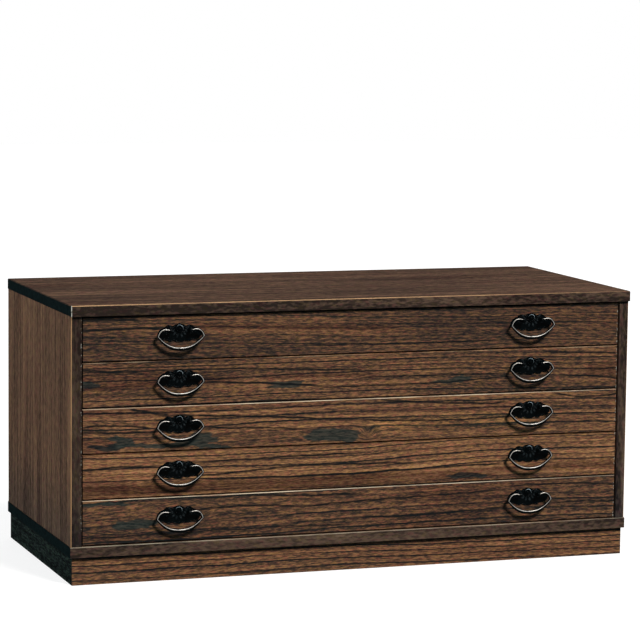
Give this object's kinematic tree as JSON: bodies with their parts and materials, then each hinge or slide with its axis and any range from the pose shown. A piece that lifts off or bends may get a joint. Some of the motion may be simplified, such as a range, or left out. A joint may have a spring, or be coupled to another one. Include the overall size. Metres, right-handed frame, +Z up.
{
  "type": "clothing chest",
  "caption": "Low board chest on a recessed plinth, with shallow stacked drawers and hanging bail handles, for storing folded clothing flat.",
  "frame": {"origin": "centre of the chest's overall box on the floor", "axes": "+X to the right along the width, +Y to the back, +Z up; the drawers open along -Y"},
  "size_m": [1, 0.4588, 0.465],
  "materials": {
    "front_wood": "stained and waxed, strong grain",
    "case_wood": "stained and waxed",
    "plain_wood": "planed, unfinished",
    "black_iron": "black lacquered"
  },
  "bodies": {
    "carcass": {"top_board": "case_wood", "bottom_board": "case_wood", "left_side_panel": "case_wood", "right_side_panel": "case_wood", "back_panel": "plain_wood", "left_runners": "plain_wood", "right_runners": "plain_wood", "plinth_front_rail": "front_wood", "plinth_back_rail": "case_wood", "plinth_left_rail": "case_wood", "plinth_right_rail": "case_wood", "plinth_corner_blocks": "plain_wood"},
    "drawer_1": {"drawer_1_front": "front_wood", "drawer_1_left_side": "plain_wood", "drawer_1_right_side": "plain_wood", "drawer_1_back": "plain_wood", "drawer_1_bottom": "plain_wood", "drawer_1_backplates": "black_iron", "drawer_1_split_pins": "black_iron"},
    "drawer_1_left_bail": {"drawer_1_left_bail": "black_iron"},
    "drawer_1_right_bail": {"drawer_1_right_bail": "black_iron"},
    "drawer_2": {"drawer_2_front": "front_wood", "drawer_2_left_side": "plain_wood", "drawer_2_right_side": "plain_wood", "drawer_2_back": "plain_wood", "drawer_2_bottom": "plain_wood", "drawer_2_backplates": "black_iron", "drawer_2_split_pins": "black_iron"},
    "drawer_2_left_bail": {"drawer_2_left_bail": "black_iron"},
    "drawer_2_right_bail": {"drawer_2_right_bail": "black_iron"},
    "drawer_3": {"drawer_3_front": "front_wood", "drawer_3_left_side": "plain_wood", "drawer_3_right_side": "plain_wood", "drawer_3_back": "plain_wood", "drawer_3_bottom": "plain_wood", "drawer_3_backplates": "black_iron", "drawer_3_split_pins": "black_iron"},
    "drawer_3_left_bail": {"drawer_3_left_bail": "black_iron"},
    "drawer_3_right_bail": {"drawer_3_right_bail": "black_iron"},
    "drawer_4": {"drawer_4_front": "front_wood", "drawer_4_left_side": "plain_wood", "drawer_4_right_side": "plain_wood", "drawer_4_back": "plain_wood", "drawer_4_bottom": "plain_wood", "drawer_4_backplates": "black_iron", "drawer_4_split_pins": "black_iron"},
    "drawer_4_left_bail": {"drawer_4_left_bail": "black_iron"},
    "drawer_4_right_bail": {"drawer_4_right_bail": "black_iron"},
    "drawer_5": {"drawer_5_front": "front_wood", "drawer_5_left_side": "plain_wood", "drawer_5_right_side": "plain_wood", "drawer_5_back": "plain_wood", "drawer_5_bottom": "plain_wood", "drawer_5_backplates": "black_iron", "drawer_5_split_pins": "black_iron"},
    "drawer_5_left_bail": {"drawer_5_left_bail": "black_iron"},
    "drawer_5_right_bail": {"drawer_5_right_bail": "black_iron"}
  },
  "joints": [
    {"name": "drawer_1_slide", "type": "slide", "parent": "carcass", "child": "drawer_1", "axis": [0, -1, 0], "range_m": [0, 0.34]},
    {"name": "drawer_1_left_bail_pivot", "type": "hinge", "parent": "drawer_1", "child": "drawer_1_left_bail", "pos_m": [-0.315, -0.2256, 0.4202], "axis": [-1, 0, 0], "range_deg": [-8, 110]},
    {"name": "drawer_1_right_bail_pivot", "type": "hinge", "parent": "drawer_1", "child": "drawer_1_right_bail", "pos_m": [0.315, -0.2256, 0.4202], "axis": [-1, 0, 0], "range_deg": [-8, 110]},
    {"name": "drawer_2_slide", "type": "slide", "parent": "carcass", "child": "drawer_2", "axis": [0, -1, 0], "range_m": [0, 0.34]},
    {"name": "drawer_2_left_bail_pivot", "type": "hinge", "parent": "drawer_2", "child": "drawer_2_left_bail", "pos_m": [-0.315, -0.2256, 0.3441], "axis": [-1, 0, 0], "range_deg": [-8, 110]},
    {"name": "drawer_2_right_bail_pivot", "type": "hinge", "parent": "drawer_2", "child": "drawer_2_right_bail", "pos_m": [0.315, -0.2256, 0.3441], "axis": [-1, 0, 0], "range_deg": [-8, 110]},
    {"name": "drawer_3_slide", "type": "slide", "parent": "carcass", "child": "drawer_3", "axis": [0, -1, 0], "range_m": [0, 0.34]},
    {"name": "drawer_3_left_bail_pivot", "type": "hinge", "parent": "drawer_3", "child": "drawer_3_left_bail", "pos_m": [-0.315, -0.2256, 0.268], "axis": [-1, 0, 0], "range_deg": [-8, 110]},
    {"name": "drawer_3_right_bail_pivot", "type": "hinge", "parent": "drawer_3", "child": "drawer_3_right_bail", "pos_m": [0.315, -0.2256, 0.268], "axis": [-1, 0, 0], "range_deg": [-8, 110]},
    {"name": "drawer_4_slide", "type": "slide", "parent": "carcass", "child": "drawer_4", "axis": [0, -1, 0], "range_m": [0, 0.34]},
    {"name": "drawer_4_left_bail_pivot", "type": "hinge", "parent": "drawer_4", "child": "drawer_4_left_bail", "pos_m": [-0.315, -0.2256, 0.1919], "axis": [-1, 0, 0], "range_deg": [-8, 110]},
    {"name": "drawer_4_right_bail_pivot", "type": "hinge", "parent": "drawer_4", "child": "drawer_4_right_bail", "pos_m": [0.315, -0.2256, 0.1919], "axis": [-1, 0, 0], "range_deg": [-8, 110]},
    {"name": "drawer_5_slide", "type": "slide", "parent": "carcass", "child": "drawer_5", "axis": [0, -1, 0], "range_m": [0, 0.34]},
    {"name": "drawer_5_left_bail_pivot", "type": "hinge", "parent": "drawer_5", "child": "drawer_5_left_bail", "pos_m": [-0.315, -0.2256, 0.1158], "axis": [-1, 0, 0], "range_deg": [-8, 110]},
    {"name": "drawer_5_right_bail_pivot", "type": "hinge", "parent": "drawer_5", "child": "drawer_5_right_bail", "pos_m": [0.315, -0.2256, 0.1158], "axis": [-1, 0, 0], "range_deg": [-8, 110]}
  ]
}
